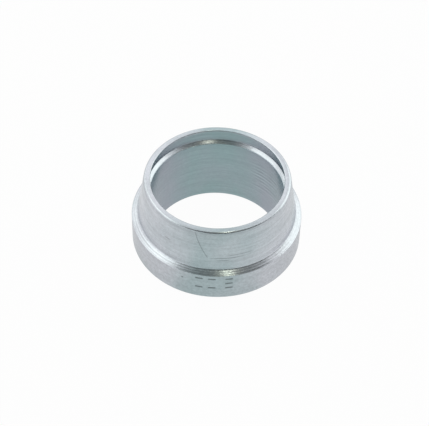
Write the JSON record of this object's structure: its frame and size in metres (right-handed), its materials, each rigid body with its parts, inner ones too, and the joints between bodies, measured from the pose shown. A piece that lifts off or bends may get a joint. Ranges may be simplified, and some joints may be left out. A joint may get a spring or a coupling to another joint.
{
  "type": "cutting ring",
  "caption": "Turned steel cutting ring for a 24 degree cone tube fitting, with a tapered front that bites into the tube and a collar that the nut pushes.",
  "frame": {"origin": "centre of the flat rear face, on the bore's axis", "axes": "+Z along the ring's axis, from the rear face towards the front cutting edge; the ring is round, so +X and +Y are free"},
  "size_m": [0.0195, 0.0194, 0.0108],
  "materials": {
    "zinc_plated_steel": "satin"
  },
  "bodies": {
    "root": {"cutting_ring": "zinc_plated_steel"}
  },
  "joints": []
}
